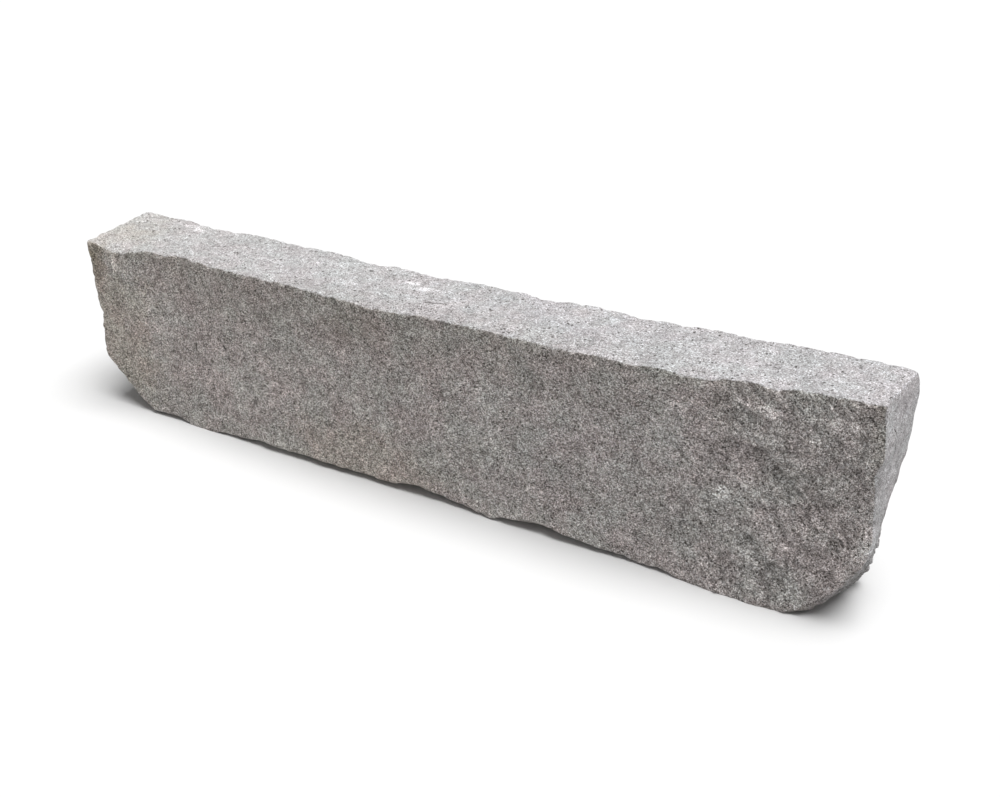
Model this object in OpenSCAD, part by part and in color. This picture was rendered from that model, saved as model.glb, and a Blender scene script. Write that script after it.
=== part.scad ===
// A rough split granite kerb stone: one solid, standing upright on its flat bed.
// X runs along the kerb, Y from the front face to the back, Z up from the bed.

/* [Block] */
// Length along the kerb
stone_length = 1100; // [700:10:1500]
// Height at the left-hand end
height_left = 247; // [200:1:330]
// Height at the right-hand end
height_right = 272; // [200:1:330]
// Width across the top at the left-hand end
width_left = 140; // [100:1:190]
// Width across the top half way along
width_middle = 114; // [90:1:190]
// Width across the top at the right-hand end
width_right = 108; // [85:1:190]
// How far the back face leans in between the top and the bed
back_batter = 12; // [0:1:25]
// How far the front face swells out under its top edge, times the outline below
front_swell = 18; // [0:1:30]

/* [Ends] */
// How far the left-hand end runs out of square, front to back
left_skew = 24; // [0:1:50]
// Depth of the dent half way up the left-hand end, at its front edge
left_dent = 9; // [0:1:20]
// How far the right-hand end swells out at its front edge, times the outline below
right_lean = 10; // [0:1:20]
// How far the right-hand end swells out at its back edge, times the outline below
right_proud = 15; // [0:1:25]
// How far it is undercut at its back edge, at the bed
right_undercut = 9; // [0:1:25]
// How far the front edge of the right-hand end is bevelled off, over its lower half
right_bevel = 10; // [0:1:20]
// How far the foot of the front face stands out near the right-hand end
right_foot = 8; // [0:1:20]

/* [Broken corners] */
// Length lost from the lower left corner, along the bed
left_break_length = 84; // [30:1:160]
// Height lost from the lower left corner
left_break_height = 76; // [30:1:120]
// Shape of that break: 1 is flat, 2 is round
left_break_round = 1; // [1:0.1:2.5]
// Share of that break still there at the back face
left_break_back = 0.6; // [0.15:0.05:1]
// Length lost from the lower right corner, along the bed
right_break_length = 72; // [30:1:160]
// Height lost from the lower right corner
right_break_height = 112; // [30:1:150]
// Shape of that break: 1 is flat, 2 is round
right_break_round = 1.9; // [1:0.1:2.5]
// Share of that break still there at the back face
right_break_back = 0.25; // [0.15:0.05:1]

/* [Split faces] */
// Height of the swells on the front face
front_relief = 5; // [0:0.5:10]
// Height of the swells on the back face
back_relief = 8; // [0:0.5:14]
// Height of the swells on the top
top_relief = 2; // [0:0.5:4]
// Height of the swells on the two ends
end_relief = 4; // [0:0.5:8]
// Distance between the larger swells
swell_span = 150; // [60:5:300]
// Distance between the smaller ones
ripple_span = 48; // [30:1:100]
// Which set of swells is drawn
swell_seed = 7; // [1:1:99]
// Length of one facet of the rough faces
facet = 16; // [15:1:40]

/* [Hidden] */
// How far the rough underside reaches below the bed before it is dressed flat
bed_cut = 6;
// How quickly a chipped edge fades across the top, the bed and the right-hand end
top_chip_fade = 8;
bed_chip_fade = 5;
end_chip_fade = 10;
// Share of the relief that the larger swells make
swell_share = 0.7;
granite = [0.55, 0.52, 0.50];

// Outlines of the long edges. Each pair is a place along the stone, in hundredths of its length
// from the left-hand end, and a distance there.
// Swell of the front face under its top edge, as a share of front_swell
front_outline = [
    [0, 0], [8, 0], [10, -0.4], [13, -0.35], [14.5, -0.8], [16, -0.5], [19, -0.3], [22, 0.05],
    [25, 0.2], [30, 0.15], [40, 0.65], [60, 0.75], [70, 0.85], [82, 0.85], [86, 0.3], [92, 0], [97, -0.1],
    [100, -0.2]
];
// Swell of the foot of the front face, as a share of right_foot
foot_outline = [[0, 0], [77, 0.3], [84, 0.8], [88, 1], [93, 1], [96, 0.6], [100, 0.3]];
// The dent in the left-hand end, as a share of left_dent, at hundredths of its height
left_outline = [[0, 0.4], [45, 0.4], [50, 0.6], [54, 1], [58, 0.8], [64, 0.1], [67, 0], [100, 0]];
// Swell of the right-hand end at its back edge, as a share of right_proud, at hundredths of its height
right_outline = [
    [0, 0], [25, 0.2], [42, 0.5], [50, 0.65], [60, 0.85], [70, 1], [85, 1], [95, 0.9], [100, 0.6]
];
// The same end at its front edge, as a share of right_lean
lean_outline = [
    [0, 0.5], [40, 1], [54, 1.1], [60, 0.5], [73, 0.2], [77, 0.7], [82, 0.7], [90, 0.3], [100, 0]
];
// The bevel of that edge, as a share of right_bevel
bevel_outline = [
    [0, 0.5], [20, 1], [25, 0.7], [31, 0.3], [40, 0], [48, 0.2], [55, 0.4], [60, 0], [100, 0]
];
// Chips along the top edge of the front face, downwards
top_chips = [
    [0, 0], [2, 3], [4, 7], [6.5, 10], [8, 0], [25, 0], [26.5, 2], [28, 0], [30, 0], [34, 1],
    [41, 3], [48, 4], [52, 1], [58, 2], [64, 3], [67, 6], [70, 5], [72, 2], [75, 5], [77, 5], [78.5, 1],
    [81.5, 7], [83.5, 5], [85.5, 1], [88, 1], [90, 6], [92, 0], [100, 0]
];
// Top edge of the back face, outwards from a straight line between the three widths
back_outline = [
    [0, 0], [5, 0], [7, 3], [10, -3], [13, -8], [16, -6], [19.5, 3], [22, 1], [25, -3], [34, -1],
    [36.5, -8], [38.5, -15], [40, -4], [43, -5], [47, -10], [51, -3], [56, -2], [60, -8], [61, -12],
    [63, -6], [68, -3], [70.5, -5], [72.5, -13], [74.5, -4], [77, -8], [80, -1], [84, -5], [88, 1],
    [96, 0], [100, -4]
];
// Chips along the bottom edge of the front face, upwards
bed_chips = [
    [0, 6], [9, 6], [11, 0], [14, 0], [17, 4], [21, 5], [23.5, 11], [26, 9], [33, 9], [45, 8], [47, 18],
    [50, 13], [53, 9], [57, 6], [59, 0], [61, 9], [63.5, 13], [66.5, 22], [68, 15], [70, 11], [74, 7],
    [77, 7], [79, 0], [80.5, 7], [83, 3], [85, 0], [100, 0]
];

length_steps = round(stone_length / facet);
width_steps = max(4, round(width_middle / facet));
height_steps = max(6, round((height_left + height_right) / 2 / facet));
front_line = -(width_left + width_right) / 4;
dice_count = 997;
dice = rands(-1, 1, dice_count, swell_seed);

function mix(a, b, share) = a + (b - a) * share;
function ease(share) = share * share * (3 - 2 * share);

// Smooth random swells over a face, between -1 and 1. Each face has its own number.
function die(a, b, face) = dice[(a * 157 + b * 311 + face * 83 + 40 * dice_count) % dice_count];
function swell(a, b, face, span) =
    let (i = floor(a / span), j = floor(b / span), s = ease(a / span - i), t = ease(b / span - j))
    mix(
        mix(die(i, j, face), die(i + 1, j, face), s),
        mix(die(i, j + 1, face), die(i + 1, j + 1, face), s),
        t
    );
function relief(a, b, face) =
    swell_share * swell(a, b, face, swell_span) + (1 - swell_share) * swell(a, b, face + 1, ripple_span);

// A broken corner: the share of its length lost at a share of its height, or the other way round
function broken(share, round) = 1 - pow(1 - pow(1 - min(1, share), round), 1 / round);
function corner_share(round) = 1 - pow(0.5, 1 / round);
function break_height(height, kept) = height * kept + bed_cut;
function break_length(length, height, round, kept) =
    length * kept / broken(bed_cut / break_height(height, kept), round);

// How far an end is cut back at a height, and how high the underside is at a distance from it
function end_loss(z, length, height, round, kept) =
    let (tall = break_height(height, kept), long = break_length(length, height, round, kept))
    long * broken(max((z + bed_cut) / tall, corner_share(round)), round);
function bed_rise(distance, length, height, round, kept) =
    let (tall = break_height(height, kept), long = break_length(length, height, round, kept))
    tall * broken(distance / long, round) - bed_cut;

function left_kept(v) = mix(1, left_break_back, v);
function right_kept(v) = mix(1, right_break_back, v);
function left_loss(v, z) =
    end_loss(z, left_break_length, left_break_height, left_break_round, left_kept(v));
function right_loss(v, z) =
    end_loss(z, right_break_length, right_break_height, right_break_round, right_kept(v));

function height_at(u) = mix(height_left, height_right, u);
function width_at(u) =
    u < 0.5 ? mix(width_left, width_middle, 2 * u) : mix(width_middle, width_right, 2 * u - 1);

// The six faces. u, v and h run from 0 to 1 along, across and up the stone.
function top_z(u, v) =
    height_at(u) - lookup(100 * u, top_chips) * pow(1 - v, top_chip_fade)
    + top_relief * relief(u * stone_length, v * width_at(u), 1) * 4 * v * (1 - v);
function bed_z(u, v) =
    let (
        lost = left_loss(v, -bed_cut),
        bare = stone_length - lost - right_loss(v, -bed_cut),
        left_far = lost + u * bare,
        right_far = stone_length - left_far,
        chip = lookup(100 * u, bed_chips),
        edge = chip + bed_cut * min(1, chip / 2)
    )
    max(
        edge * pow(1 - v, bed_chip_fade) - bed_cut,
        bed_rise(left_far, left_break_length, left_break_height, left_break_round, left_kept(v)),
        bed_rise(right_far, right_break_length, right_break_height, right_break_round, right_kept(v))
    );
function front_y(u, z) =
    let (h = z / height_at(u))
    front_line - front_swell * lookup(100 * u, front_outline) * h * abs(h)
    - right_foot * lookup(100 * u, foot_outline) * (1 - h)
    + front_relief * relief(u * stone_length, z, 3) * (1 - pow(h, 4));
function back_y(u, z) =
    let (h = z / height_at(u))
    front_line + width_at(u) - back_batter * (1 - h) + lookup(100 * u, back_outline) * h * h
    + back_relief * relief(u * stone_length, z, 5) * (1 - pow(h, 4));
function left_x(v, z) =
    left_loss(v, z) - stone_length / 2 - left_skew * v
    + left_dent * lookup(100 * z / height_left, left_outline) * (1 - v)
    + end_relief * relief(v * width_left, z, 7) * 4 * v * (1 - v);
function right_x(v, z) =
    let (h = z / height_right)
    stone_length / 2 - right_loss(v, z)
    - right_bevel * lookup(100 * h, bevel_outline) * pow(1 - v, end_chip_fade)
    + mix(
        right_lean * lookup(100 * h, lean_outline),
        right_proud * lookup(100 * h, right_outline) - right_undercut * (1 - h),
        v
    )
    + end_relief * relief(v * width_right, z, 9) * 4 * v * (1 - v);

// A place on the skin of the stone, or inside an end
function spot(u, v, h) =
    let (z = mix(bed_z(u, v), top_z(u, v), h))
    [mix(left_x(v, z), right_x(v, z), u), mix(front_y(u, z), back_y(u, z), v), z];
function place(i, j, k) = spot(i / length_steps, j / width_steps, k / height_steps);

// The skin is a row of rings round the section, each running up the front, over the top, down the
// back and under the bed, with a grid of places inside the first and the last ring for the ends.
ring_size = 2 * (width_steps + height_steps);
function ring_cell(r) =
    r < height_steps ? [0, r]
    : r < height_steps + width_steps ? [r - height_steps, height_steps]
    : r < 2 * height_steps + width_steps ? [width_steps, 2 * height_steps + width_steps - r]
    : [ring_size - r, 0];
function ring_place(j, k) =
    j == 0 ? k
    : k == height_steps ? height_steps + j
    : j == width_steps ? 2 * height_steps + width_steps - k
    : ring_size - j;

rings = [
    for (i = [0 : length_steps]) for (r = [0 : ring_size - 1])
        let (cell = ring_cell(r)) place(i, cell[0], cell[1])
];
function end_grid(i) = [
    for (j = [1 : width_steps - 1]) for (k = [1 : height_steps - 1]) place(i, j, k)
];
end_size = (width_steps - 1) * (height_steps - 1);
function end_index(i, j, k) =
    j > 0 && j < width_steps && k > 0 && k < height_steps
    ? len(rings) + (i == 0 ? 0 : end_size) + (j - 1) * (height_steps - 1) + k - 1
    : i * ring_size + ring_place(j, k) % ring_size;

// A four-cornered cell, as two triangles cut along the diagonal that alternates from cell to cell
function cell_faces(a, b, c, d, flip) = flip ? [[a, b, c], [a, c, d]] : [[a, b, d], [b, c, d]];
side_faces = [
    for (i = [0 : length_steps - 1]) for (r = [0 : ring_size - 1])
        let (low = i * ring_size, next = (r + 1) % ring_size)
        each cell_faces(
            low + r, low + next, low + ring_size + next, low + ring_size + r, (i + r) % 2 == 0
        )
];
function end_faces(i, outward) = [
    for (j = [0 : width_steps - 1]) for (k = [0 : height_steps - 1])
        let (
            a = end_index(i, j, k),
            b = end_index(i, j + 1, k),
            c = end_index(i, j + 1, k + 1),
            d = end_index(i, j, k + 1)
        )
        each cell_faces(a, outward ? d : b, c, outward ? b : d, (j + k) % 2 == 0)
];

module rough_block() {
    polyhedron(
        points = concat(rings, end_grid(0), end_grid(length_steps)),
        faces = concat(side_faces, end_faces(0, false), end_faces(length_steps, true)),
        convexity = 6
    );
}

module kerb_stone() {
    color(granite) difference() {
        rough_block();
        translate([-stone_length, -stone_length / 2, -stone_length])
            cube([2 * stone_length, stone_length, stone_length]);
    }
}

kerb_stone();
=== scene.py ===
import math

import bmesh
import bpy
from mathutils import Matrix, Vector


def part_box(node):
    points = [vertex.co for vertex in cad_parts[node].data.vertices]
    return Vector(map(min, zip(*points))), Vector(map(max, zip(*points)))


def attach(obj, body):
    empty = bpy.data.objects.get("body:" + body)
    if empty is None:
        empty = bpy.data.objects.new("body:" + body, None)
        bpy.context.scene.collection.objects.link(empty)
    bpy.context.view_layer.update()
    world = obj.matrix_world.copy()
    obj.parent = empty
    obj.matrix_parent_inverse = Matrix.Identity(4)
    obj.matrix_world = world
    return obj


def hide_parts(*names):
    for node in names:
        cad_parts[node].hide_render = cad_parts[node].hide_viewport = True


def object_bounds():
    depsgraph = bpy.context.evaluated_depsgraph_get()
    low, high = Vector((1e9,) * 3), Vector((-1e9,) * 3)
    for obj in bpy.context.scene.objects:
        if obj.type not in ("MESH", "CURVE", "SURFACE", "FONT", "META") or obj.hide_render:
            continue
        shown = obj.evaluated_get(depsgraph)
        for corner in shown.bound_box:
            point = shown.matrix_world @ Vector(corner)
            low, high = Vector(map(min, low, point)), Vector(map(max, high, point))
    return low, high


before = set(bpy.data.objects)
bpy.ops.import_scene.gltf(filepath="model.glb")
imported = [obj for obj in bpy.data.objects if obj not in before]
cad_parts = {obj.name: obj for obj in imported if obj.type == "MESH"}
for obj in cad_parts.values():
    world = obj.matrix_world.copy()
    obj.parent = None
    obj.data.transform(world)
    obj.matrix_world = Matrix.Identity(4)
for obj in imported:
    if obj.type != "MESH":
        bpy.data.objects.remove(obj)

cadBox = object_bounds()
stoneNode = "kerb_stone"
mm = 0.001
lowCorner, highCorner = [list(corner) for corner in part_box(stoneNode)]
stoneLength = highCorner[0] - lowCorner[0]
stoneHeight = highCorner[2] - lowCorner[2]


def alongStone(share):
    # a place along the stone, from 0 at its left-hand end to 1 at its right-hand end
    return lowCorner[0] + share * stoneLength


# helpers for node trees

def socketNamed(sockets, name):
    # some nodes keep hidden sockets of the same name for other data types
    return next(s for s in sockets if s.name == name and s.enabled)


def addNode(tree, kind, inputs=None, **settings):
    node = tree.nodes.new(kind)
    for name, value in settings.items():
        setattr(node, name, value)
    for name, value in (inputs or {}).items():
        socket = node.inputs[name] if isinstance(name, int) else socketNamed(node.inputs, name)
        if isinstance(value, bpy.types.NodeSocket):
            tree.links.new(value, socket)
        else:
            socket.default_value = value
    return node


def calc(tree, operation, *values, clamp=False):
    inputs = dict(enumerate(values))
    return addNode(tree, "ShaderNodeMath", inputs, operation=operation, use_clamp=clamp).outputs[0]


def vectorCalc(tree, operation, first, second=None, scale=None):
    inputs = {0: first}
    if second is not None:
        inputs[1] = second
    if scale is not None:
        inputs["Scale"] = scale
    node = addNode(tree, "ShaderNodeVectorMath", inputs, operation=operation)
    return node.outputs["Value" if operation in ("LENGTH", "DOT_PRODUCT", "DISTANCE") else "Vector"]


def ease(tree, value, low, high, toLow=0.0, toHigh=1.0):
    node = addNode(tree, "ShaderNodeMapRange", {
        "Value": value, "From Min": low, "From Max": high, "To Min": toLow, "To Max": toHigh,
    }, interpolation_type="SMOOTHSTEP")
    return node.outputs["Result"]


def noiseAt(tree, place, span, seed, detail=2.0, roughness=0.5, distortion=0.0):
    # span is the size of the largest lumps, in metres; the result lies around 0.5
    scale = calc(tree, "DIVIDE", 1.0, span)
    node = addNode(tree, "ShaderNodeTexNoise", {
        "Vector": place, "W": seed, "Scale": scale, "Detail": detail, "Roughness": roughness,
        "Distortion": distortion,
    }, noise_dimensions="4D")
    return node.outputs[0]


def swing(tree, value, height):
    # turns 0..1 noise into -height..height
    return calc(tree, "MULTIPLY", calc(tree, "MULTIPLY_ADD", value, 2.0, -1.0), height)


def xyzOf(tree, vector):
    return addNode(tree, "ShaderNodeSeparateXYZ", {0: vector}).outputs


def facesFront(tree, toBack):
    # 1 on the front, 0 on the top, the ends and the back
    return ease(tree, toBack, -0.35, -0.80)


cameraSetup = {
    "place": (0.7365, -1.1455, 0.8045),
    "turn": 29.81,      # degrees to the left of straight along the depth of the stone
    "dip": 26.89,       # degrees below level
    "roll": 0.22,
    "lens": 42.86,
    "sensor": 36.0,
}


def makeCamera():
    data = bpy.data.cameras.new("camera")
    data.lens = cameraSetup["lens"]
    data.sensor_width = cameraSetup["sensor"]
    data.clip_start = 0.01
    camera = bpy.data.objects.new("camera", data)
    bpy.context.scene.collection.objects.link(camera)
    aim = (
        Matrix.Rotation(math.radians(cameraSetup["turn"]), 4, "Z")
        @ Matrix.Rotation(math.radians(90 - cameraSetup["dip"]), 4, "X")
        @ Matrix.Rotation(math.radians(cameraSetup["roll"]), 4, "Z")
    )
    camera.matrix_world = Matrix.Translation(cameraSetup["place"]) @ aim
    bpy.context.scene.camera = camera
    print("camera set")


# One broad overhead lamp, a little to the right, and an even white room. Both are far away, so that
# the floor is equally bright all over.
studio = {
    "floorSize": 60.0,
    "floorColor": (0.68, 0.68, 0.68, 1.0),
    "floorRoughness": 0.95,
    "roomColor": (1.0, 1.0, 1.0, 1.0),
    "roomStrength": 0.26,
    "lampStrength": 4.1,
    "lampSpread": 38.0,     # degrees that the lamp's disc covers
    "lampToRight": 13.5,    # degrees off straight overhead
    "lampToFront": 3.0,
}


def makeStudio():
    half = studio["floorSize"] / 2
    mesh = bpy.data.meshes.new("floor")
    corners = [(-half, -half, 0), (half, -half, 0), (half, half, 0), (-half, half, 0)]
    mesh.from_pydata(corners, [], [(0, 1, 2, 3)])
    floor = bpy.data.objects.new("floor", mesh)
    floor.location.z = cadBox[0][2]
    bpy.context.scene.collection.objects.link(floor)
    paint = bpy.data.materials.new("pale_floor")
    paint.use_nodes = True
    shader = paint.node_tree.nodes["Principled BSDF"]
    shader.inputs["Base Color"].default_value = studio["floorColor"]
    shader.inputs["Roughness"].default_value = studio["floorRoughness"]
    shader.inputs["Specular IOR Level"].default_value = 0.0
    mesh.materials.append(paint)

    world = bpy.data.worlds.new("studio")
    world.use_nodes = True
    background = world.node_tree.nodes["Background"]
    background.inputs["Color"].default_value = studio["roomColor"]
    background.inputs["Strength"].default_value = studio["roomStrength"]
    bpy.context.scene.world = world
    data = bpy.data.lights.new("overhead", "SUN")
    data.energy = studio["lampStrength"]
    data.angle = math.radians(studio["lampSpread"])
    lamp = bpy.data.objects.new("overhead", data)
    lamp.rotation_euler = (math.radians(studio["lampToFront"]), math.radians(studio["lampToRight"]), 0.0)
    bpy.context.scene.collection.objects.link(lamp)
    bpy.context.scene.view_settings.view_transform = "Standard"
    print("studio set")


stoneShape = {
    "levels": 3,                # how often each CAD triangle is divided
    "arris": 35.0,              # degrees between two faces that count as an arris
    "triangles": 192000,        # what is kept of the working mesh
    "reliefHeight": 1.0 * mm,   # lumps of every split face
    "reliefSpan": 42 * mm,
    "flakeTilt": 0.075,         # slope of the small flat flakes that a split face breaks in
    "flakeSpan": 21 * mm,
    "grainHeight": 0.35 * mm,   # the sandy finish
    "grainSpan": 7 * mm,
    "roughFrom": 0.27,          # where along the stone the rough part of the front begins and is full
    "roughFull": 0.42,
    "roughWander": 0.11,        # how far its outline strays from that
    "roughUnderTop": 0.7,       # how rough the patches right under the top arris are
    "roughTilt": 0.10,          # slope of its flakes
    "roughSpan": 34 * mm,
    "ringsAlong": 0.70,         # middle of the rings that its hollows and shards lie in
    "ringsUp": -0.05,
    "ringPull": 0.13,           # how much longer they come out along the rings than across
    "ringHeart": 0.02,
    "bowlDepth": 2.3 * mm,      # shell-shaped hollows of the rough part
    "bowlSpan": 19 * mm,
    "shardTilt": 0.42,          # the small shards over them
    "shardSpan": 7.5 * mm,
    "chipDepth": 5.0 * mm,      # chips along the arrises
    "chipSpan": 19 * mm,
    "calmShare": 0.28,          # how deep they are along the back and at the left-hand end
    "toothDepth": 6.0 * mm,     # saw teeth of the top arris in front
    "toothSpan": 24 * mm,
    "crumbleHeight": 0.6 * mm,  # and their finer crumbling
    "crumbleSpan": 6 * mm,
    "toothLift": 1.5 * mm,      # the whole toothed edge is lifted by this
    "toothRise": 1.9 * mm,      # and no point of it rises by more than this
    "smoothRounds": 36,         # rounds of averaging that take the CAD facets off the faces
    "edgeRounds": 10,           # and that widen the arrises into the strips that are chipped
    "rimRounds": 90,            # and into the broader ones that are dirty
    "facingRounds": 7,
    "wearRounds": 3,            # and that take the folds off the finished arrises
    "wearShare": 0.6,
    "weld": 0.01 * mm,          # corners this close are one corner
    "bedSnap": 0.1 * mm,        # points this close to the bed lie on it
    "shadeAngle": 44.0,         # degrees between two faces that are shaded apart
    "seed": 3.7,
}

# Where something begins and where it is full. Along the stone, from front to back, and above the bed,
# in metres, counted from the middle of the bed.
zones = {
    "rightCorner": (0.46, 0.50),                # the broken lower corner on the right
    "rightCornerUp": (0.13, 0.09),
    "underTop": (0.18, 0.21),                   # the strip of the front under its top arris
    "toothedBack": (-15 * mm, -30 * mm),        # the toothed top arris of the front
    "toothedUp": (0.20, 0.22),
    "toothedAlong": (0.545, 0.515),
    "calmBack": (-5 * mm, 25 * mm),             # where arrises are chipped less
    "calmLeft": (-0.50, -0.53),
    "calmFoot": (0.05, 0.02),
    "quietFoot": (0.0, 7 * mm),                 # where everything gets lower towards the bed
    "bedBand": (0.3 * mm, 9 * mm),
    "lowCorners": (0.46, 0.50),                 # either broken lower corner, which leans over
}


def slopedCells(tree, place, layer, softness, tilt, span):
    # each cell is flat, with a slope of its own
    cell = addNode(tree, "ShaderNodeTexVoronoi", {
        "Vector": place, "W": layer, "Scale": 1.0, "Smoothness": softness,
    }, voronoi_dimensions="4D", feature="SMOOTH_F1").outputs
    slope = vectorCalc(tree, "SUBTRACT", cell["Color"], (0.5, 0.5, 0.5))
    offset = vectorCalc(tree, "SUBTRACT", place, cell["Position"])
    rise = calc(tree, "MULTIPLY", vectorCalc(tree, "DOT_PRODUCT", slope, offset), tilt)
    return calc(tree, "MULTIPLY", calc(tree, "MULTIPLY", rise, 2.0), span)


def flakes(tree, place, span, tilt, seed):
    # flat flakes, with small steps between them
    inSpans = vectorCalc(tree, "SCALE", place, scale=calc(tree, "DIVIDE", 1.0, span))
    return slopedCells(tree, inSpans, seed, 0.16, tilt, span)


def ringPlace(tree, place, centre, span):
    # like a place counted in spans, but bent into rings round the centre, so that what is drawn
    # with it comes out longer along the rings than across them
    away = vectorCalc(tree, "MULTIPLY", vectorCalc(tree, "SUBTRACT", place, centre), (1.0, 0.0, 1.0))
    radius = vectorCalc(tree, "LENGTH", away)
    pull = calc(tree, "DIVIDE", stoneShape["ringPull"], calc(tree, "ADD", radius, stoneShape["ringHeart"]))
    around = vectorCalc(tree, "SCALE", away, scale=pull)
    depth = vectorCalc(tree, "MULTIPLY", place, (0.0, 1.0, 0.0))
    bent = vectorCalc(tree, "ADD", around, depth)
    bent = vectorCalc(tree, "SCALE", bent, scale=calc(tree, "DIVIDE", 1.0, span))
    return bent, calc(tree, "DIVIDE", calc(tree, "MULTIPLY", radius, 1.1), span)


def bowls(tree, place, centre, span, depth, seed):
    # shell-shaped hollows in rings, with ridges between them
    bent, ring = ringPlace(tree, place, centre, span)
    warp = addNode(tree, "ShaderNodeTexNoise", {"Vector": bent, "W": ring, "Scale": 1.3, "Detail": 2.0},
                   noise_dimensions="4D").outputs["Color"]
    bent = vectorCalc(tree, "ADD", bent, vectorCalc(tree, "SUBTRACT", warp, (0.5, 0.5, 0.5)))
    cell = addNode(tree, "ShaderNodeTexVoronoi", {
        "Vector": bent, "W": calc(tree, "ADD", ring, seed), "Scale": 1.0,
    }, voronoi_dimensions="4D").outputs["Distance"]
    rim = calc(tree, "SUBTRACT", calc(tree, "POWER", cell, 2.0), 0.30)
    return calc(tree, "MULTIPLY", rim, depth)


def shards(tree, place, centre, span, tilt, seed):
    # small broken facets in the same rings
    bent, ring = ringPlace(tree, place, centre, span)
    return slopedCells(tree, bent, calc(tree, "ADD", ring, seed), 0.1, tilt, span)


def chips(tree, place, span, depth, seed):
    # each cell is one chip: a face with a slope of its own, and a step at its outline
    inSpans = vectorCalc(tree, "SCALE", place, scale=calc(tree, "DIVIDE", 1.0, span))
    shaken = addNode(tree, "ShaderNodeTexNoise", {"Vector": inSpans, "W": seed, "Scale": 1.4, "Detail": 2.0},
                     noise_dimensions="4D").outputs["Color"]
    shaken = vectorCalc(tree, "ADD", inSpans, vectorCalc(tree, "SUBTRACT", shaken, (0.5, 0.5, 0.5)))
    cell = addNode(tree, "ShaderNodeTexVoronoi", {
        "Vector": shaken, "W": seed, "Scale": 1.0, "Smoothness": 0.05,
    }, voronoi_dimensions="4D", feature="SMOOTH_F1").outputs
    slope = vectorCalc(tree, "SUBTRACT", cell["Color"], (0.5, 0.5, 0.5))
    ramp = vectorCalc(tree, "DOT_PRODUCT", slope, vectorCalc(tree, "SUBTRACT", shaken, cell["Position"]))
    bite = ease(tree, xyzOf(tree, cell["Color"])[0], 0.35, 1.0, -0.12, 0.88)
    return calc(tree, "MULTIPLY", calc(tree, "MULTIPLY_ADD", ramp, 1.1, bite), depth)


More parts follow.
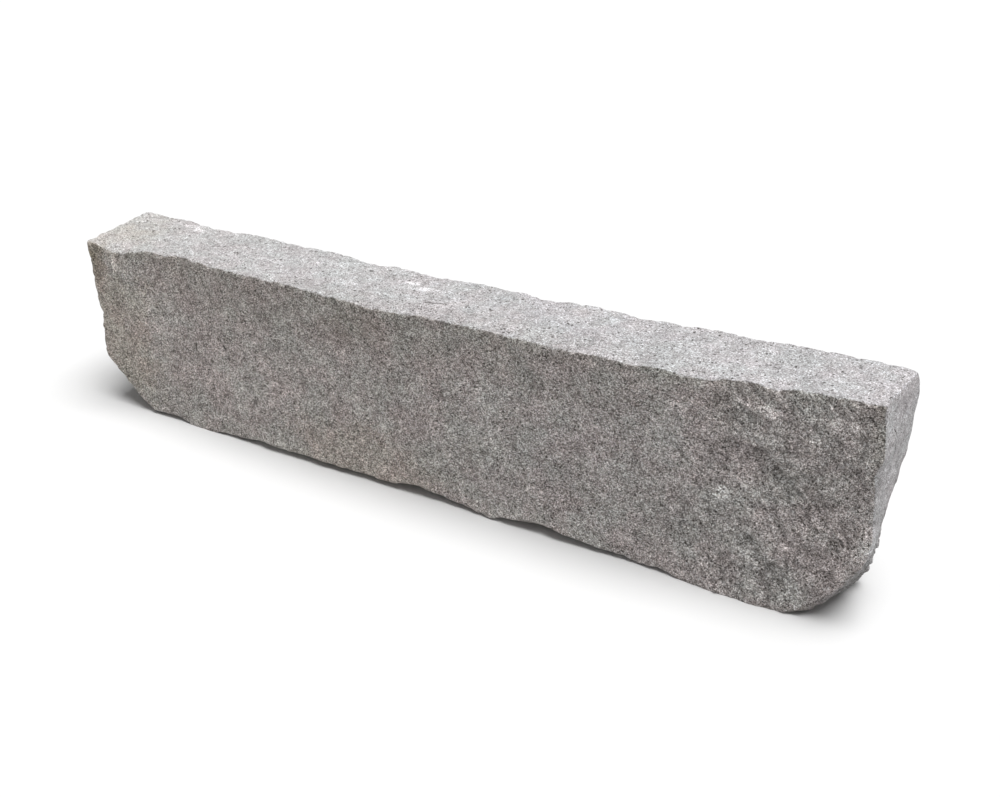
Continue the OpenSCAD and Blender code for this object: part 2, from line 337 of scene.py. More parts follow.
def buildSplitTree():
    tree = bpy.data.node_groups.new("split_faces", "GeometryNodeTree")
    tree.interface.new_socket(name="Geometry", in_out="INPUT", socket_type="NodeSocketGeometry")
    tree.interface.new_socket(name="Levels", in_out="INPUT", socket_type="NodeSocketInt")
    for name in (
        "Arris Angle", "Relief Height", "Relief Span", "Flake Tilt", "Flake Span", "Grain Height",
        "Grain Span", "Rough From", "Rough Full", "Rough Tilt", "Rough Span", "Bowl Depth", "Bowl Span",
        "Shard Tilt", "Shard Span", "Chip Depth", "Chip Span", "Calm Share", "Tooth Depth", "Tooth Span",
        "Crumble Height", "Crumble Span", "Seed",
    ):
        tree.interface.new_socket(name=name, in_out="INPUT", socket_type="NodeSocketFloat")
    for name in ("Low Corner", "High Corner", "Ring Centre"):
        tree.interface.new_socket(name=name, in_out="INPUT", socket_type="NodeSocketVector")
    tree.interface.new_socket(name="Stone", in_out="INPUT", socket_type="NodeSocketMaterial")
    tree.interface.new_socket(name="Geometry", in_out="OUTPUT", socket_type="NodeSocketGeometry")
    given = tree.nodes.new("NodeGroupInput").outputs
    shape = stoneShape
    place = addNode(tree, "GeometryNodeInputPosition").outputs[0]
    normal = addNode(tree, "GeometryNodeInputNormal").outputs[0]
    seed = given["Seed"]

    def seeded(step):
        return calc(tree, "ADD", seed, float(step))

    def stored(geometry, name, value, kind="FLOAT"):
        node = addNode(tree, "GeometryNodeStoreNamedAttribute", {
            "Geometry": geometry, "Name": name, "Value": value,
        }, data_type=kind, domain="POINT")
        return node.outputs[0]

    def named(name, kind="FLOAT"):
        return addNode(tree, "GeometryNodeInputNamedAttribute", {"Name": name}, data_type=kind).outputs[0]

    def blurred(value, times, kind="FLOAT", weight=1.0):
        return addNode(tree, "GeometryNodeBlurAttribute", {
            "Value": value, "Iterations": times, "Weight": weight,
        }, data_type=kind).outputs[0]

    fine = addNode(tree, "GeometryNodeSubdivideMesh", {
        "Mesh": given["Geometry"], "Level": given["Levels"],
    }).outputs[0]

    # the points on an arris, and how near to one every other point is
    angle = addNode(tree, "GeometryNodeInputMeshEdgeAngle").outputs["Unsigned Angle"]
    sharp = calc(tree, "GREATER_THAN", angle, given["Arris Angle"])
    sharp = addNode(tree, "GeometryNodeFieldOnDomain", {0: sharp}, domain="EDGE",
                    data_type="FLOAT").outputs[0]
    marked = stored(fine, "arris", calc(tree, "GREATER_THAN", sharp, 0.0))
    onArris = named("arris")
    near = calc(tree, "MULTIPLY", blurred(onArris, shape["edgeRounds"]), 4.0, clamp=True)
    marked = stored(marked, "edge", near)
    near = calc(tree, "MULTIPLY", blurred(onArris, shape["rimRounds"]), 9.0, clamp=True)
    marked = stored(marked, "rim", near)
    edge = named("edge")

    # take the CAD facets out of the faces, and leave the arrises and the flat bed where they are
    offBed = calc(tree, "GREATER_THAN", xyzOf(tree, place)[2], 0.05 * mm)
    loose = calc(tree, "MULTIPLY", calc(tree, "SUBTRACT", 1.0, onArris), offBed)
    smooth = blurred(place, shape["smoothRounds"], "FLOAT_VECTOR", loose)
    smoothed = addNode(tree, "GeometryNodeSetPosition", {"Geometry": marked, "Position": smooth}).outputs[0]
    outward = vectorCalc(tree, "NORMALIZE", blurred(normal, shape["facingRounds"], "FLOAT_VECTOR"))
    smoothed = stored(smoothed, "facing", outward, "FLOAT_VECTOR")
    facing = named("facing", "FLOAT_VECTOR")
    along = xyzOf(tree, place)[0]
    upward = xyzOf(tree, place)[2]
    frontness = facesFront(tree, xyzOf(tree, facing)[1])

    # every face: lumps, flakes and a sandy finish
    lumps = swing(tree, noiseAt(tree, place, given["Relief Span"], seed, 4.0, 0.55), given["Relief Height"])
    flat = flakes(tree, place, given["Flake Span"], given["Flake Tilt"], seeded(5))
    sand = swing(tree, noiseAt(tree, place, given["Grain Span"], seeded(8), 1.0, 0.5), given["Grain Height"])
    height = calc(tree, "ADD", calc(tree, "ADD", lumps, flat), sand)

    # the rough part of the front: steeper flakes and hollows
    wander = swing(tree, noiseAt(tree, place, 0.09, seeded(14), 2.0), shape["roughWander"])
    share = ease(tree, calc(tree, "ADD", along, wander), given["Rough From"], given["Rough Full"])
    share = calc(tree, "MULTIPLY", share, frontness)
    corner = calc(tree, "MULTIPLY", ease(tree, along, *zones["rightCorner"]),
                  ease(tree, upward, *zones["rightCornerUp"]))
    share = calc(tree, "MAXIMUM", share, corner)
    patchy = ease(tree, noiseAt(tree, place, 0.07, seeded(15), 2.0), 0.42, 0.62)
    underTop = calc(tree, "MULTIPLY", calc(tree, "MULTIPLY", named("rim"), frontness),
                    ease(tree, upward, *zones["underTop"]))
    underTop = calc(tree, "MULTIPLY", calc(tree, "MULTIPLY", underTop, patchy), shape["roughUnderTop"])
    share = calc(tree, "MAXIMUM", share, underTop)
    centre = given["Ring Centre"]
    broken = flakes(tree, place, given["Rough Span"], given["Rough Tilt"], seeded(17))
    hollows = bowls(tree, place, centre, given["Bowl Span"], given["Bowl Depth"], seeded(19))
    broken = calc(tree, "ADD", broken, hollows)
    broken = calc(tree, "ADD", broken, shards(tree, place, centre, given["Shard Span"], given["Shard Tilt"],
                                              seeded(20)))
    height = calc(tree, "MULTIPLY_ADD", broken, share, height)

    # chips and crumbling along the arrises
    bite = chips(tree, place, given["Chip Span"], given["Chip Depth"], seeded(23))
    backwards = xyzOf(tree, place)[1]
    topFront = calc(tree, "MULTIPLY", ease(tree, backwards, *zones["toothedBack"]),
                    ease(tree, upward, *zones["toothedUp"]))
    topFront = calc(tree, "MULTIPLY", topFront, ease(tree, along, *zones["toothedAlong"]))
    calm = calc(tree, "MAXIMUM", ease(tree, backwards, *zones["calmBack"]),
                ease(tree, along, *zones["calmLeft"]))
    calm = calc(tree, "MAXIMUM", calc(tree, "MAXIMUM", calm, topFront),
                ease(tree, upward, *zones["calmFoot"]))
    bite = calc(tree, "MULTIPLY", bite, ease(tree, calm, 0.0, 1.0, 1.0, given["Calm Share"]))
    teeth = chips(tree, place, given["Tooth Span"], given["Tooth Depth"], seeded(26))
    teeth = calc(tree, "MAXIMUM", calc(tree, "SUBTRACT", teeth, shape["toothLift"]), -shape["toothRise"])
    teeth = calc(tree, "MULTIPLY", calc(tree, "MULTIPLY", teeth, edge), topFront)
    crumble = swing(tree, noiseAt(tree, place, given["Crumble Span"], seeded(29), 1.0, 0.5),
                    given["Crumble Height"])
    bite = calc(tree, "ADD", crumble, bite)
    height = calc(tree, "SUBTRACT", height, calc(tree, "MULTIPLY", bite, edge))
    height = calc(tree, "MULTIPLY", height, ease(tree, upward, *zones["quietFoot"], 0.4, 1.0))
    raised = stored(smoothed, "height", height)
    raised = stored(raised, "broken", share)
    raised = stored(raised, "teeth", teeth)
    height = named("height")

    # the bed stays flat: close above it, points move sideways only
    above = ease(tree, upward, *zones["bedBand"])
    offset = vectorCalc(tree, "SCALE", facing, scale=height)
    drop = vectorCalc(tree, "SCALE", (0.0, 0.35, -1.0), scale=named("teeth"))
    offset = vectorCalc(tree, "ADD", offset, drop)
    level = vectorCalc(tree, "MULTIPLY", offset, (1.0, 1.0, 0.0))
    offset = addNode(tree, "ShaderNodeMix", {4: level, 5: offset, 0: above}, data_type="VECTOR").outputs[1]
    moved = addNode(tree, "GeometryNodeSetPosition", {"Geometry": raised, "Offset": offset}).outputs[0]

    # no fold or spike is left on an arris
    wear = calc(tree, "MULTIPLY", calc(tree, "MULTIPLY", edge, offBed), shape["wearShare"])
    worn = blurred(place, shape["wearRounds"], "FLOAT_VECTOR", wear)
    moved = addNode(tree, "GeometryNodeSetPosition", {"Geometry": moved, "Position": worn}).outputs[0]

    # and nothing leaves the box that the stone is measured by
    inside = vectorCalc(tree, "MAXIMUM", vectorCalc(tree, "MINIMUM", place, given["High Corner"]),
                        given["Low Corner"])
    kept = addNode(tree, "GeometryNodeSetPosition", {"Geometry": moved, "Position": inside}).outputs[0]
    real = addNode(tree, "GeometryNodeRealizeInstances", {"Geometry": kept}).outputs[0]
    done = addNode(tree, "GeometryNodeSetMaterial", {
        "Geometry": real, "Material": given["Stone"],
    }).outputs[0]
    out = tree.nodes.new("NodeGroupOutput")
    tree.links.new(done, out.inputs["Geometry"])
    return tree


def setTreeInputs(modifier, values):
    for item in modifier.node_group.interface.items_tree:
        if item.item_type == "SOCKET" and item.in_out == "INPUT" and item.name in values:
            modifier[item.identifier] = values[item.name]


def makeStone(material):
    shape = stoneShape
    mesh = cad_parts[stoneNode].data.copy()
    mesh.name = "split_stone"
    shell = bmesh.new()
    shell.from_mesh(mesh)
    bmesh.ops.remove_doubles(shell, verts=shell.verts, dist=shape["weld"])
    shell.to_mesh(mesh)
    shell.free()
    mesh.materials.clear()
    rough = bpy.data.objects.new("rough_stone", mesh)
    bpy.context.scene.collection.objects.link(rough)

    nodes = rough.modifiers.new("split", "NODES")
    nodes.node_group = buildSplitTree()
    setTreeInputs(nodes, {
        "Levels": shape["levels"], "Arris Angle": math.radians(shape["arris"]),
        "Relief Height": shape["reliefHeight"], "Relief Span": shape["reliefSpan"],
        "Flake Tilt": shape["flakeTilt"], "Flake Span": shape["flakeSpan"],
        "Grain Height": shape["grainHeight"], "Grain Span": shape["grainSpan"],
        "Rough From": shape["roughFrom"], "Rough Full": shape["roughFull"],
        "Rough Tilt": shape["roughTilt"], "Rough Span": shape["roughSpan"],
        "Bowl Depth": shape["bowlDepth"], "Bowl Span": shape["bowlSpan"],
        "Shard Tilt": shape["shardTilt"], "Shard Span": shape["shardSpan"],
        "Chip Depth": shape["chipDepth"], "Chip Span": shape["chipSpan"], "Calm Share": shape["calmShare"],
        "Tooth Depth": shape["toothDepth"], "Tooth Span": shape["toothSpan"],
        "Crumble Height": shape["crumbleHeight"], "Crumble Span": shape["crumbleSpan"],
        "Seed": shape["seed"], "Low Corner": lowCorner, "High Corner": highCorner, "Stone": material,
        "Ring Centre": [alongStone(shape["ringsAlong"]), 0.0, shape["ringsUp"]],
    })

    # the first division makes three four-sided faces of a triangle, the others four of each of those
    made = len(mesh.polygons) * 6 * 4 ** (shape["levels"] - 1)
    thin = rough.modifiers.new("thin", "DECIMATE")
    thin.ratio = shape["triangles"] / made
    view = bpy.context.evaluated_depsgraph_get()
    final = bpy.data.meshes.new_from_object(rough.evaluated_get(view))
    bpy.data.objects.remove(rough)
    final.name = "granite_block"

    # thinning may push a point out of the box, or off the bed, by a hair
    for vertex in final.vertices:
        vertex.co = [min(max(c, low), high) for c, low, high in zip(vertex.co, lowCorner, highCorner)]
        if vertex.co.z < lowCorner[2] + shape["bedSnap"]:
            vertex.co.z = lowCorner[2]
    for polygon in final.polygons:
        polygon.use_smooth = True
    final.set_sharp_from_angle(angle=math.radians(shape["shadeAngle"]))
    stone = bpy.data.objects.new("granite_block", final)
    bpy.context.scene.collection.objects.link(stone)
    print("stone made:", len(final.polygons), "triangles, with", [a.name for a in final.attributes])
    return stone


# Minerals, and what weather and handling did to them. Places are counted as in the zones.
graniteLook = {
    "wobbleSpan": 1.5 * mm,             # how crooked the outlines of the crystals are
    "wobble": 1.0 * mm,
    "crystal": 1.2 * mm,                # their sizes
    "fineCrystal": 0.85 * mm,
    "fleck": 3.1 * mm,                  # and that of the few large black or white ones
    "fleckFade": (0.64, 0.40),          # from its outline to its core, in sizes
    "fleckVariety": 0.24,
    "darkFrom": 0.935,                  # the higher, the fewer
    "darkOnTop": -0.040,                # more of them on the top, and weaker ones on the end
    "darkOnEnd": -0.55,
    "darkShare": 0.9,
    "brightFrom": 0.97,
    "brightShare": 0.8,
    "fineDark": 0.46,                   # the tones that the fine crystals run between
    "fineBright": 1.54,
    "clusterSpan": 11 * mm,             # where like minerals gather
    "clusterSwing": 0.52,
    "quartz": (0.182, 0.166, 0.155),
    "pinkFeldspar": (0.320, 0.296, 0.280),
    "paleFeldspar": (0.470, 0.448, 0.434),
    "whiteFeldspar": (0.590, 0.571, 0.560),
    "mica": (0.045, 0.038, 0.032),
    "topBleachAndLight": (1.205, 1.265, 1.335),   # the top and the right-hand end are partly bleached, and partly painted paler and cooler: painted light of the overhead lamp
    "topDustAndLight": (0.470, 0.453, 0.450),
    "topDustAndLightShare": 0.29,
    "endBleachAndLight": (0.985, 1.02, 1.07),
    "underArrisShadeTint": (0.66, 0.67, 0.62),      # painted shade right under the top arris of the front, with an olive cast
    "overhangShadeTint": (0.66, 0.65, 0.64),    # and painted shade on what leans over, on its downward-facing faces
    "wornPaler": 0.07,                  # the arrises of the top
    "ridge": 2.5 * mm,                  # hollows are painted darker and ridges paler: partly dust in the hollows, partly painted shade and highlight of the relief
    "hollowTone": 0.88,
    "ridgeTone": 1.12,
    "pinkTint": (1.005, 0.943, 0.938),
    "greenTint": (0.995, 1.017, 0.994),
    "tintSpan": 55 * mm,
    "mottleSpan": 13 * mm,              # paler and darker patches, small and large
    "mottleDepth": 0.18,
    "cloudSpan": 65 * mm,
    "cloudDepth": 0.19,
    "grainBump": 0.72 * mm,
    "grainBumpSpan": 2.3 * mm,
    "crystalBump": 0.16 * mm,
    "brokenBump": 1.2 * mm,             # ridges on the rough part
    "brokenBumpSpan": 6 * mm,
    "brokenCrestHighlight": 0.22,                # how much paler their crests are painted: painted highlight of ridges catching the lamp
    "roughness": 0.86,
    "crushed": (1.85, 1.87, 1.90),      # how much paler the stone is where it was struck
    "deep": (0.06, 0.055, 0.05),        # the inside of pits and cracks
    "fraySpan": 26 * mm,                # the frayed outlines of the stains
    "fray": 0.9,
    "tearSpan": 6 * mm,                 # and of the bruises
    "tear": 0.85,
    "waverSpan": 8 * mm,                # how the cracks wander
    "waver": 6 * mm,
    "glint": 0.42,                      # how much smoother a glinting crystal is
}

stains = (
    {"name": "greyer right-hand half", "at": (0.50, -0.06, 0.13), "reach": (0.42, 0.3, 0.3),
     "tint": (0.98, 0.99, 1.01)},
    {"name": "bluish top", "at": (-0.10, 0.0, 0.26), "reach": (0.30, 0.09, 0.02), "tint": (0.99, 1.0, 1.01)},
    {"name": "ochre left end", "at": (-0.555, -0.03, 0.11), "reach": (0.115, 0.10, 0.12),
     "tint": (1.035, 1.0, 0.94)},
    {"name": "pale left edge", "at": (-0.575, -0.06, 0.165), "reach": (0.022, 0.05, 0.060),
     "tint": (1.22, 1.20, 1.17)},
    {"name": "cream top corner", "at": (-0.56, -0.02, 0.25), "reach": (0.09, 0.09, 0.02),
     "tint": (1.01, 1.0, 0.967)},
    {"name": "olive corner", "at": (-0.555, -0.06, 0.212), "reach": (0.028, 0.03, 0.028),
     "tint": (0.76, 0.73, 0.65)},
    # painted shade in a band under the top arris of the front, in three patches
    {"name": "painted shade under the top arris, left", "at": (-0.23, -0.06, 0.218), "reach": (0.25, 0.03, 0.036),
     "tint": (0.91, 0.905, 0.895)},
    {"name": "painted shade under the top arris, right", "at": (0.17, -0.06, 0.230), "reach": (0.27, 0.03, 0.038),
     "tint": (0.90, 0.895, 0.885)},
    {"name": "painted shade patch under the top arris", "at": (-0.095, -0.06, 0.226), "reach": (0.050, 0.03, 0.024),
     "tint": (0.88, 0.88, 0.86)},
    {"name": "rusty foot", "at": (-0.09, -0.06, 0.03), "reach": (0.11, 0.04, 0.05),
     "tint": (1.03, 0.995, 0.955)},
    # painted shade on the broken lower right corner, which faces down
    {"name": "painted shade on the broken corner", "at": (0.550, 0.020, 0.06), "reach": (0.050, 0.065, 0.080),
     "tint": (0.70, 0.69, 0.68)},
    # painted shade over a hollow of the rough part of the front
    {"name": "painted shade in a hollow of the rough part", "at": (0.495, -0.06, 0.168), "reach": (0.075, 0.03, 0.040),
     "tint": (0.87, 0.87, 0.865)},
    # painted light along the foot of the front, lifting the shade near the floor
    {"name": "painted light along the foot", "at": (0.06, -0.06, 0.0), "reach": (0.55, 0.04, 0.030),
     "tint": (1.16, 1.16, 1.16)},
)

bruises = (
    {"name": "hammer mark on the top", "at": (-0.052, 0.011, 0.259), "reach": (0.012, 0.007, 0.02),
     "pale": 0.8},
    {"name": "its lesser mate", "at": (-0.035, -0.002, 0.259), "reach": (0.016, 0.006, 0.02), "pale": 0.4},
    {"name": "faint bruise on the top", "at": (-0.130, -0.026, 0.259), "reach": (0.019, 0.008, 0.02),
     "pale": 0.3},
    {"name": "graze beside them", "at": (-0.022, 0.002, 0.259), "reach": (0.013, 0.006, 0.02), "pale": 0.4},
    {"name": "chip near the back", "at": (-0.459, 0.056, 0.248), "reach": (0.014, 0.007, 0.02), "pale": 0.5},
    {"name": "its neighbour", "at": (-0.440, 0.046, 0.248), "reach": (0.011, 0.005, 0.02), "pale": 0.45},
    {"name": "streak near the left end", "at": (-0.502, -0.06, 0.224), "reach": (0.005, 0.03, 0.013),
     "pale": 0.8},
    {"name": "upper scuff", "at": (0.337, -0.06, 0.227), "reach": (0.011, 0.03, 0.0045), "pale": 0.6},
    {"name": "upper scuff's hook", "at": (0.346, -0.06, 0.220), "reach": (0.006, 0.03, 0.009), "pale": 0.6},
    {"name": "middle scuff", "at": (0.394, -0.06, 0.128), "reach": (0.012, 0.03, 0.010), "pale": 0.65},
    {"name": "pale ridge", "at": (0.416, -0.06, 0.245), "reach": (0.024, 0.03, 0.0032), "pale": 0.5},
    {"name": "ridge end", "at": (0.440, -0.06, 0.239), "reach": (0.009, 0.03, 0.005), "pale": 0.5},
    {"name": "low ridge", "at": (0.506, -0.06, 0.172), "reach": (0.020, 0.03, 0.004), "pale": 0.3},
    {"name": "rim of the broken corner", "at": (0.556, -0.06, 0.118), "reach": (0.007, 0.03, 0.018),
     "pale": 0.4},
)

# for cracks and pits, the axis with a 0 in "across" is the one that the mark goes in along
cracks = (
    {"name": "crack in the right-hand end", "from": (0.557, -0.034, 0.238), "to": (0.557, -0.020, 0.205),
     "across": (0, 1, 1), "width": 1.1 * mm},
    {"name": "fissure on the top", "from": (-0.004, -0.037, 0.259), "to": (0.026, -0.031, 0.260),
     "across": (1, 1, 0), "width": 1.1 * mm},
    {"name": "short fissure", "from": (-0.010, -0.027, 0.259), "to": (0.006, -0.025, 0.259),
     "across": (1, 1, 0), "width": 0.9 * mm},
    {"name": "pit on the top", "from": (-0.126, 0.023, 0.259), "to": (-0.123, 0.023, 0.260),
     "across": (1, 1, 0), "width": 2.4 * mm},
    {"name": "pit on the front", "from": (-0.316, -0.06, 0.139), "to": (-0.313, -0.06, 0.136),
     "across": (1, 0, 1), "width": 2.6 * mm},
    {"name": "pit above it", "from": (-0.313, -0.06, 0.156), "to": (-0.310, -0.06, 0.156),
     "across": (1, 0, 1), "width": 1.8 * mm},
)


def mixed(tree, first, second, share, blend="MIX"):
    inputs = {0: share, 6: first, 7: second}
    return addNode(tree, "ShaderNodeMix", inputs, data_type="RGBA", blend_type=blend).outputs[2]


def opaque(color):
    return (*color, 1.0)


def greyOf(tree, value):
    return addNode(tree, "ShaderNodeCombineColor", {0: value, 1: value, 2: value}).outputs[0]


def patchAt(tree, place, spot, fray, soft=0.45):
    # 1 inside an egg-shaped patch, 0 outside, with a frayed outline
    away = vectorCalc(tree, "DIVIDE", vectorCalc(tree, "SUBTRACT", place, spot["at"]), spot["reach"])
    far = calc(tree, "ADD", vectorCalc(tree, "LENGTH", away), fray)
    return ease(tree, far, 1.0 + soft, 1.0 - soft)


def crackAt(tree, place, crack, waver):
    # distance from the line between the crack's two ends
    run = [(b - a) * share for a, b, share in zip(crack["from"], crack["to"], crack["across"])]
    length = math.sqrt(sum(r * r for r in run))
    unit = [r / length for r in run]
    away = vectorCalc(tree, "SUBTRACT", vectorCalc(tree, "ADD", place, waver), crack["from"])
    away = vectorCalc(tree, "MULTIPLY", away, [float(share) for share in crack["across"]])
    reach = vectorCalc(tree, "DOT_PRODUCT", away, unit)
    reach = calc(tree, "MINIMUM", calc(tree, "MAXIMUM", reach, 0.0), length)
    off = vectorCalc(tree, "SUBTRACT", away, vectorCalc(tree, "SCALE", unit, scale=reach))
    return ease(tree, vectorCalc(tree, "LENGTH", off), crack["width"], crack["width"] * 0.4)


def buildGranite():
    material = bpy.data.materials.new("split_granite")
    material.use_nodes = True
    tree = material.node_tree
    shader = tree.nodes["Principled BSDF"]
    look = graniteLook
    place = addNode(tree, "ShaderNodeTexCoord").outputs["Object"]
    facing = addNode(tree, "ShaderNodeAttribute", attribute_name="facing").outputs["Vector"]
    rim = addNode(tree, "ShaderNodeAttribute", attribute_name="rim").outputs["Fac"]
    height = addNode(tree, "ShaderNodeAttribute", attribute_name="height").outputs["Fac"]
    toRight, toBack, toTop = xyzOf(tree, facing)
    upward = xyzOf(tree, place)[2]
    topness = ease(tree, toTop, 0.40, 0.80)
    endness = ease(tree, toRight, 0.45, 0.85)
    frontness = facesFront(tree, toBack)

    # crystals: each cell is one mineral, with a crooked outline
    wobble = addNode(tree, "ShaderNodeTexNoise", {
        "Vector": place, "Scale": 1 / look["wobbleSpan"], "Detail": 1.0,
    }).outputs["Color"]
    wobble = vectorCalc(tree, "SUBTRACT", wobble, (0.5, 0.5, 0.5))
    crooked = vectorCalc(tree, "ADD", place, vectorCalc(tree, "SCALE", wobble, scale=look["wobble"]))

    def crystals(size):
        cells = addNode(tree, "ShaderNodeTexVoronoi", {"Vector": crooked, "Scale": 1 / size}).outputs
        return cells["Distance"], addNode(tree, "ShaderNodeSeparateColor", {0: cells["Color"]}).outputs

    middle, (pick, tone, shine) = crystals(look["crystal"])
    finePick = crystals(look["fineCrystal"])[1][0]
    cluster = noiseAt(tree, place, look["clusterSpan"], 2.0, 4.0, 0.70)
    pick = calc(tree, "ADD", pick, swing(tree, cluster, look["clusterSwing"]))
    minerals = addNode(tree, "ShaderNodeValToRGB", {"Fac": pick})
    stops = [(0.0, "mica"), (0.08, "quartz"), (0.28, "quartz"), (0.42, "pinkFeldspar"),
             (0.58, "pinkFeldspar"), (0.72, "paleFeldspar"), (1.0, "whiteFeldspar")]
    elements = minerals.color_ramp.elements
    while len(elements) < len(stops):
        elements.new(0.5)
    for element, (at, mineral) in zip(elements, stops):
        element.position = at
        element.color = opaque(look[mineral])
    color = minerals.outputs[0]
    fineTone = ease(tree, finePick, 0.0, 1.0, look["fineDark"], look["fineBright"])
    color = mixed(tree, color, greyOf(tree, fineTone), 1.0, "MULTIPLY")

    # soft patches of tone and tint
    mottle = noiseAt(tree, place, look["mottleSpan"], 5.0, 3.0, 0.6)
    mottle = calc(tree, "ADD", 1.0, swing(tree, mottle, look["mottleDepth"] * 2))
    color = mixed(tree, color, greyOf(tree, mottle), 1.0, "MULTIPLY")
    clouds = noiseAt(tree, place, look["cloudSpan"], 6.0, 2.0, 0.6)
    clouds = calc(tree, "ADD", 1.0, swing(tree, clouds, look["cloudDepth"]))
    color = mixed(tree, color, greyOf(tree, clouds), 1.0, "MULTIPLY")
    leaning = ease(tree, noiseAt(tree, place, look["tintSpan"], 9.0, 4.0, 0.68), 0.36, 0.64)
    tint = mixed(tree, opaque(look["pinkTint"]), opaque(look["greenTint"]), leaning)
    color = mixed(tree, color, tint, 1.0, "MULTIPLY")

    # the top and the right-hand end are partly bleached and dusty, and partly painted paler and cooler:
    # painted light of the overhead lamp
    color = mixed(tree, color, opaque(look["topBleachAndLight"]), topness, "MULTIPLY")
    color = mixed(tree, color, opaque(look["endBleachAndLight"]), endness, "MULTIPLY")
    color = mixed(tree, color, opaque(look["topDustAndLight"]),
                  calc(tree, "MULTIPLY", calc(tree, "MAXIMUM", topness, endness), look["topDustAndLightShare"]))

    # now and then a large black or white crystal
    reach, (dark, bright, extra) = crystals(look["fleck"])
    reach = calc(tree, "MULTIPLY_ADD", extra, look["fleckVariety"], reach)
    core = ease(tree, reach, *look["fleckFade"])
    often = calc(tree, "MULTIPLY_ADD", topness, look["darkOnTop"], look["darkFrom"])
    dark = calc(tree, "MULTIPLY", calc(tree, "GREATER_THAN", dark, often), core)
    dark = calc(tree, "MULTIPLY", dark, calc(tree, "MULTIPLY_ADD", endness, look["darkOnEnd"], 1.0))
    dark = calc(tree, "MULTIPLY", dark, look["darkShare"])
    color = mixed(tree, color, opaque(look["mica"]), dark)
    bright = calc(tree, "MULTIPLY", calc(tree, "GREATER_THAN", bright, look["brightFrom"]), core)
    bright = calc(tree, "MULTIPLY", bright, look["brightShare"])
    color = mixed(tree, color, opaque(look["whiteFeldspar"]), bright)

    # stains, among them patches of painted shade and painted light, and painted shade under the top arris
    fray = swing(tree, noiseAt(tree, place, look["fraySpan"], 12.0, 4.0, 0.6), look["fray"])
    for stain in stains:
        share = patchAt(tree, place, stain, fray)
        color = mixed(tree, color, opaque(stain["tint"]), share, "MULTIPLY")
    # painted shade in a band right under the top arris of the front
    underTop = calc(tree, "MULTIPLY", ease(tree, upward, 0.7 * stoneHeight, 0.8 * stoneHeight), frontness)
    patchy = ease(tree, noiseAt(tree, place, 60 * mm, 15.0, 3.0, 0.5), 0.35, 0.6, 0.55, 1.0)
    shade = calc(tree, "MULTIPLY", calc(tree, "MULTIPLY", rim, underTop), patchy)
    color = mixed(tree, color, opaque(look["underArrisShadeTint"]), shade, "MULTIPLY")
    # painted shade on the downward-facing faces of the broken lower corners
    outward = ease(tree, calc(tree, "ABSOLUTE", xyzOf(tree, place)[0]), *zones["lowCorners"])
    under = calc(tree, "MULTIPLY", ease(tree, toTop, -0.08, -0.40), outward)
    color = mixed(tree, color, opaque(look["overhangShadeTint"]), under, "MULTIPLY")
    edge = addNode(tree, "ShaderNodeAttribute", attribute_name="edge").outputs["Fac"]
    worn = calc(tree, "MULTIPLY_ADD", calc(tree, "MULTIPLY", edge, topness), look["wornPaler"], 1.0)
    color = mixed(tree, color, greyOf(tree, worn), 1.0, "MULTIPLY")
    # painted shade in the hollows and painted highlight on the ridges, partly dust
    ridges = ease(tree, height, -look["ridge"], look["ridge"], look["hollowTone"], look["ridgeTone"])
    color = mixed(tree, color, greyOf(tree, ridges), 1.0, "MULTIPLY")
    broken = addNode(tree, "ShaderNodeAttribute", attribute_name="broken").outputs["Fac"]
    centre = (alongStone(stoneShape["ringsAlong"]), 0.0, stoneShape["ringsUp"])
    bent, ring = ringPlace(tree, place, centre, look["brokenBumpSpan"])
    hackly = addNode(tree, "ShaderNodeTexNoise", {
        "Vector": bent, "W": ring, "Scale": 1.0, "Detail": 3.0, "Roughness": 0.6,
    }, noise_dimensions="4D").outputs[0]
    hackly = calc(tree, "ABSOLUTE", swing(tree, hackly, 2.0))
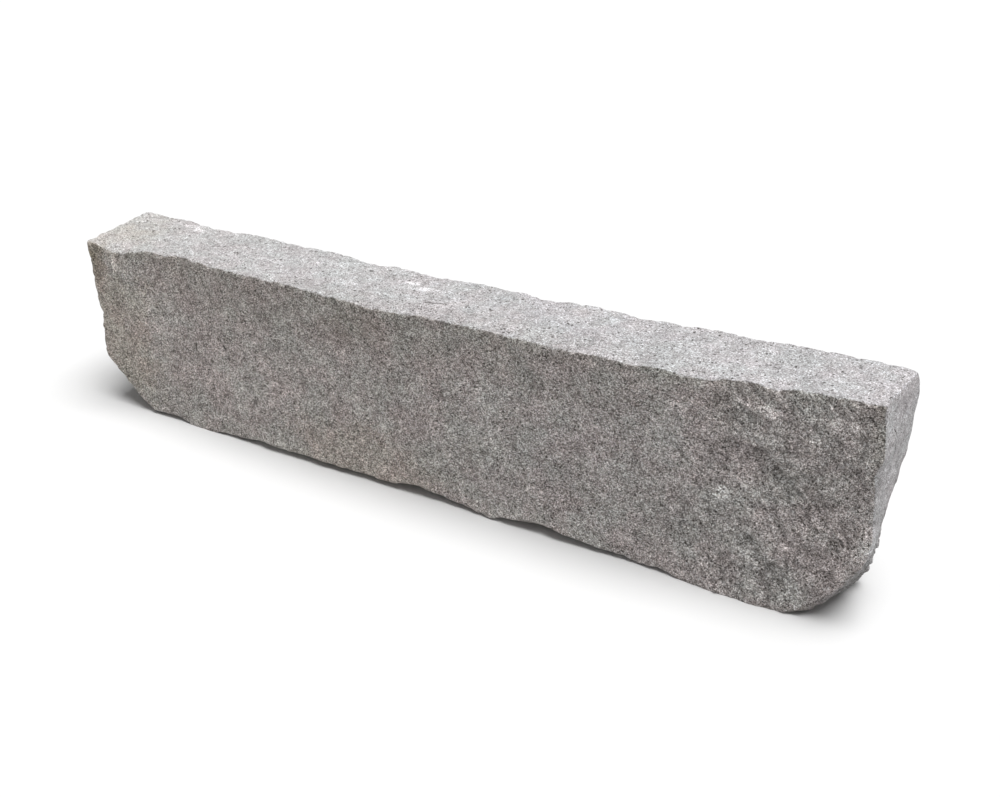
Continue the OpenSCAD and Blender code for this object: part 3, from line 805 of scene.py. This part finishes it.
    # painted highlight on the crests of the rough part's ridges, with the rough part a little darker
    crestHighlight = calc(tree, "MULTIPLY", ease(tree, hackly, 0.35, 0.0), broken)
    trough = calc(tree, "MULTIPLY_ADD", broken, -0.06, 1.0)
    crestHighlight = calc(tree, "MULTIPLY_ADD", crestHighlight, look["brokenCrestHighlight"], trough)
    color = mixed(tree, color, greyOf(tree, crestHighlight), 1.0, "MULTIPLY")

    # crushed white stone where it was struck, and dark cracks
    tear = swing(tree, noiseAt(tree, place, look["tearSpan"], 18.0, 3.0, 0.65), look["tear"])
    for bruise in bruises:
        share = calc(tree, "MULTIPLY", patchAt(tree, place, bruise, tear, 0.25), bruise["pale"])
        color = mixed(tree, color, opaque(look["crushed"]), share, "MULTIPLY")
    shake = addNode(tree, "ShaderNodeTexNoise", {
        "Vector": place, "Scale": 1 / look["waverSpan"], "Detail": 2.0,
    }).outputs["Color"]
    shake = vectorCalc(tree, "SUBTRACT", shake, (0.5, 0.5, 0.5))
    waver = vectorCalc(tree, "SCALE", shake, scale=look["waver"])
    for crack in cracks:
        into = {(0, 1, 1): endness, (1, 1, 0): topness, (1, 0, 1): frontness}[crack["across"]]
        share = calc(tree, "MULTIPLY", crackAt(tree, place, crack, waver), into)
        color = mixed(tree, color, opaque(look["deep"]), share)
    tree.links.new(color, shader.inputs["Base Color"])

    # mica and some feldspar faces glint
    glint = ease(tree, shine, 0.90, 0.96)
    rough = calc(tree, "SUBTRACT", look["roughness"], calc(tree, "MULTIPLY", glint, look["glint"]))
    tree.links.new(rough, shader.inputs["Roughness"])

    # the sandy surface, as relief
    sand = noiseAt(tree, place, look["grainBumpSpan"], 21.0, 3.0, 0.6)
    sand = calc(tree, "MULTIPLY", sand, look["grainBump"] * 2)
    knobs = calc(tree, "MULTIPLY", calc(tree, "SUBTRACT", tone, middle), look["crystalBump"])
    hackly = calc(tree, "MULTIPLY", calc(tree, "MULTIPLY", hackly, broken), look["brokenBump"])
    relief = calc(tree, "SUBTRACT", calc(tree, "ADD", sand, knobs), hackly)
    bump = addNode(tree, "ShaderNodeBump", {"Height": relief, "Strength": 1.0, "Distance": 1.0})
    tree.links.new(bump.outputs[0], shader.inputs["Normal"])
    print("granite mixed")
    return material


makeCamera()
makeStudio()
granite = buildGranite()
stone = makeStone(granite)
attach(stone, "root")
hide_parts(stoneNode)
